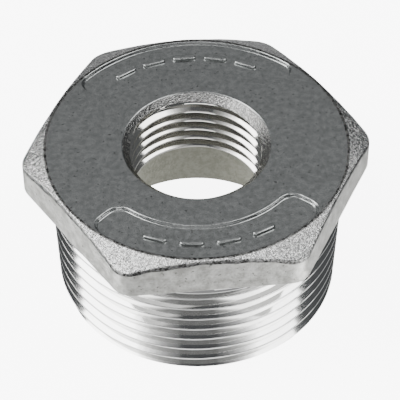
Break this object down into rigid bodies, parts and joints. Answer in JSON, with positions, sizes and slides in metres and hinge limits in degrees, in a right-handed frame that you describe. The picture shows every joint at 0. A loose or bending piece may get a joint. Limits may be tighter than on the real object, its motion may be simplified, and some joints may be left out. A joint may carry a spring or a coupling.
{
  "type": "hex bushing",
  "caption": "Reducing hex bushing: taper male pipe thread, hexagonal head, smaller parallel female thread, cored recess.",
  "frame": {"origin": "centre of the male end face, on which the bushing stands", "axes": "+Z along the bushing's axis towards the hexagonal head; the hexagon's corners lie on X, and two of its flats face +Y and -Y"},
  "size_m": [0.0498, 0.044, 0.0254],
  "materials": {
    "cast_stainless": "satin casting skin, machined threads and faces"
  },
  "bodies": {
    "root": {"hex_bushing": "cast_stainless"}
  },
  "joints": []
}
